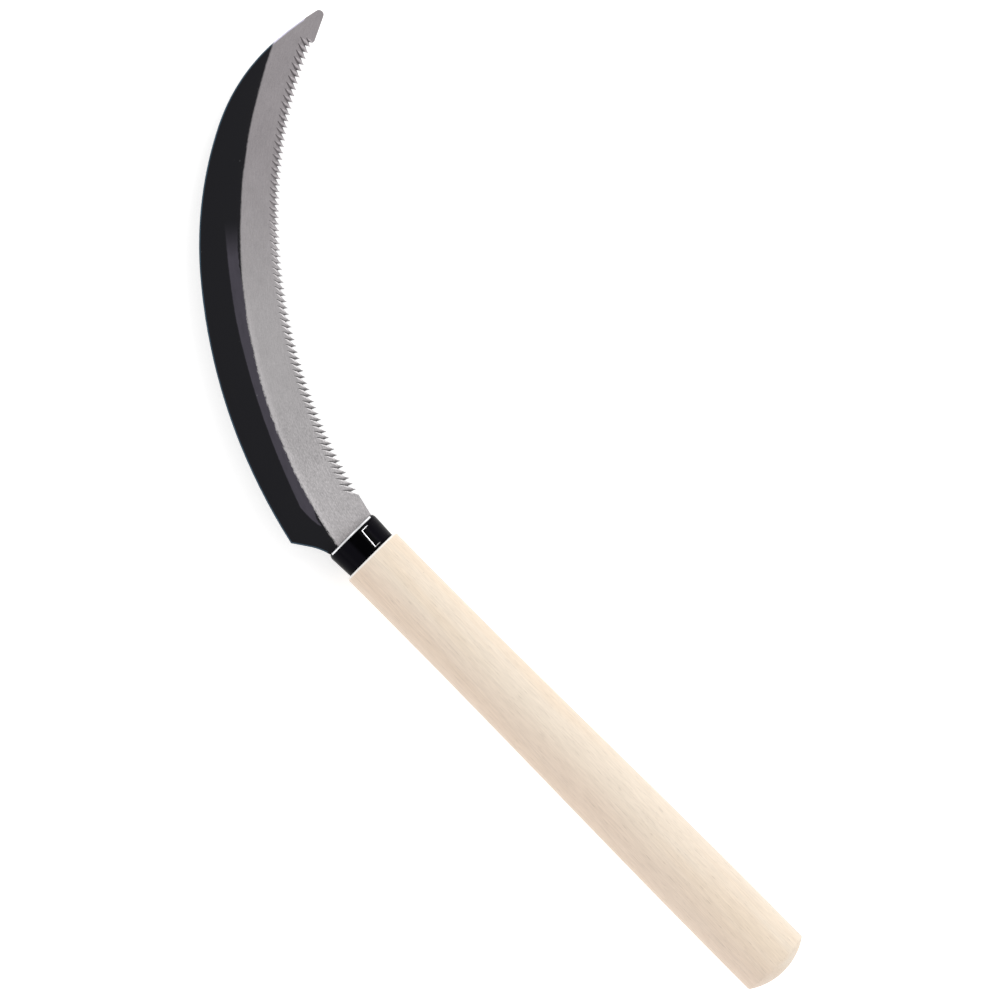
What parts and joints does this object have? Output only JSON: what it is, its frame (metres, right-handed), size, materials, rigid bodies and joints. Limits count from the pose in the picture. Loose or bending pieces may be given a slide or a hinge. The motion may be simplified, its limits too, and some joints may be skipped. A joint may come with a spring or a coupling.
{
  "type": "hand sickle",
  "caption": "Hand sickle with a saw-toothed crescent blade, part black and part ground bright, held by a black ferrule in a straight turned wooden handle.",
  "frame": {"origin": "middle of the grip, on the handle's axis", "axes": "+X along the handle from the butt to the blade, +Z normal to the blade on its ground side, the hollow of the blade faces -Y"},
  "size_m": [0.3515, 0.137, 0.026],
  "materials": {
    "blade_steel": "satin ground bevel under a thin black coat on the flat",
    "ferrule_black": "gloss black sheet steel with bright cut edges",
    "bare_wood": "bare sanded pale hardwood",
    "nail_steel": "plain drawn wire nail"
  },
  "bodies": {
    "root": {"blade": "blade_steel", "ferrule": "ferrule_black", "handle": "bare_wood", "tang_pin": "nail_steel"}
  },
  "joints": []
}
